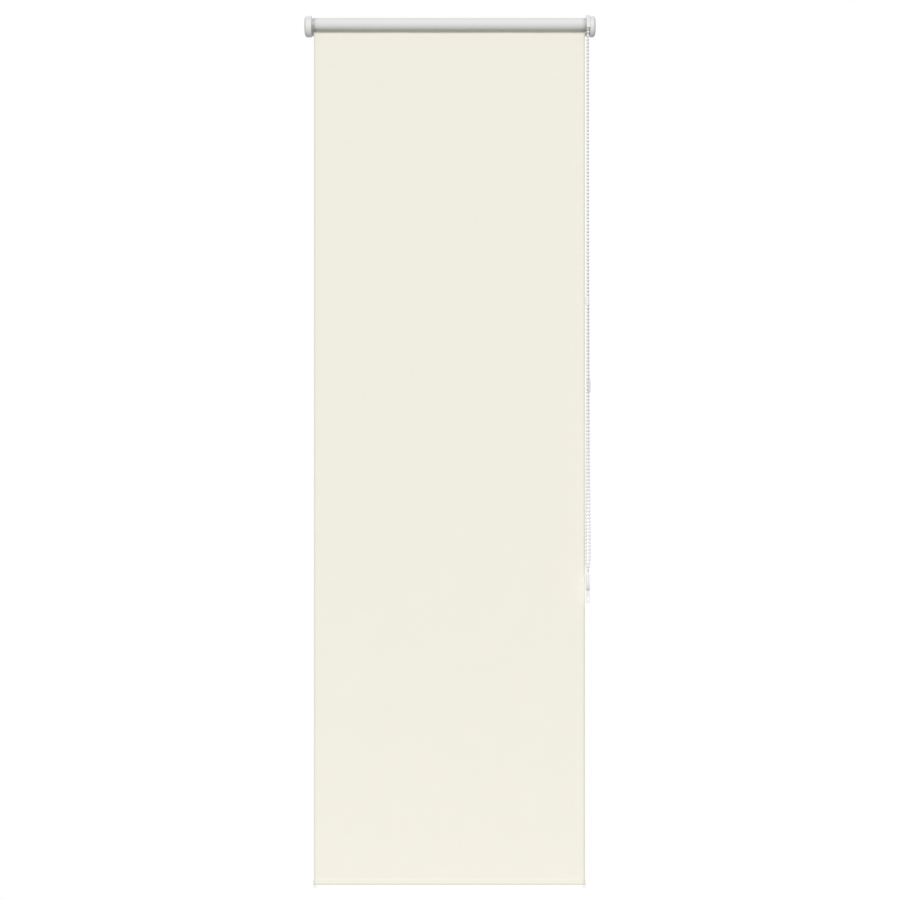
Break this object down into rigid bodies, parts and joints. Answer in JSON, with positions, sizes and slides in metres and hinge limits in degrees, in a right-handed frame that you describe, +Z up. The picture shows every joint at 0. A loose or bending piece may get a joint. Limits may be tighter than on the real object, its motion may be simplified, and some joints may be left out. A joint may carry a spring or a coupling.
{
  "type": "roller blind",
  "caption": "Chain-operated roller blind: cream cloth on a small tube between two covered wall brackets, slim hem bar, bead-chain loop with hold-down.",
  "frame": {"origin": "on the wall plane, midway between the outer faces of the two bracket covers, level with the roller axis", "axes": "+X right as seen from the room, along the roller; +Y into the wall; +Z up"},
  "size_m": [0.5, 0.0415, 1.4991],
  "materials": {
    "shade_cloth": "plain-woven polyester, cream, matt, close weave with no pattern",
    "cloth_backing": "white reverse of the same cloth, matt",
    "cover_plastic": "moulded white plastic, satin gloss",
    "white_plastic": "moulded white plastic",
    "grey_plastic": "dark grey glass-filled nylon, matt",
    "chain_plastic": "white moulded beads on a polyester cord",
    "painted_steel": "folded steel, white powder coat",
    "aluminium": "extruded, mill finish",
    "bright_steel": "zinc-plated steel",
    "tape": "double-sided mounting tape"
  },
  "bodies": {
    "wall_fixings": {"idle_bracket": "painted_steel", "idle_bracket_cover": "cover_plastic", "idle_pin_bush": "cover_plastic", "control_bracket": "painted_steel", "control_bracket_cover": "cover_plastic", "clutch_housing": "cover_plastic", "clutch_spindle": "grey_plastic", "spindle_clip": "bright_steel", "clutch_screw": "bright_steel", "shade_cloth": "shade_cloth"},
    "roller": {"roller_tube": "aluminium", "cloth_tape": "tape", "cloth_roll": "cloth_backing", "idle_end_plug": "grey_plastic", "pin_spring": "bright_steel", "spring_seat": "white_plastic", "chain_sprocket": "grey_plastic", "wrap_spring_inner": "bright_steel", "wrap_spring_outer": "bright_steel", "tube_adapter": "grey_plastic"},
    "spring_pin": {"idle_pin": "bright_steel"},
    "bottom_rail": {"hem_pocket": "shade_cloth", "weight_bar": "bright_steel", "rail_cap_left": "white_plastic", "rail_cap_right": "white_plastic"},
    "chain_loop": {"bead_chain": "chain_plastic", "chain_connector": "chain_plastic", "safety_joiner": "chain_plastic", "tensioner_shell_left": "chain_plastic", "tensioner_shell_right": "chain_plastic", "tensioner_screw": "bright_steel"},
    "idler": {"tensioner_wheel": "white_plastic"}
  },
  "joints": [
    {"name": "blind_lift", "type": "slide", "parent": "wall_fixings", "child": "bottom_rail", "axis": [0, 0, 1], "range_m": [0, 1.43], "deforming": ["shade_cloth"]},
    {"name": "roller_turn", "type": "hinge", "parent": "wall_fixings", "child": "roller", "pos_m": [0, -0.024, 0], "axis": [1, 0, 0], "range_deg": [0, 6090]},
    {"name": "idle_pin_press", "type": "slide", "parent": "roller", "child": "spring_pin", "axis": [1, 0, 0], "range_m": [0, 0.0055], "stiffness_N_per_m": 400, "springref_m": -0.004, "deforming": ["pin_spring"]},
    {"name": "chain_swing", "type": "hinge", "parent": "wall_fixings", "child": "chain_loop", "pos_m": [0.2366, -0.024, 0], "axis": [-1, 0, 0], "range_deg": [0, 12]},
    {"name": "idler_turn", "type": "hinge", "parent": "chain_loop", "child": "idler", "pos_m": [0.2369, -0.024, -0.9594], "axis": [1, 0, 0], "range_deg": [0, 6090]}
  ],
  "couplings": [
    {"joint": "roller_turn", "follows": "blind_lift", "rad_per_m": 74.2},
    {"joint": "idler_turn", "follows": "blind_lift", "rad_per_m": 74.2}
  ]
}
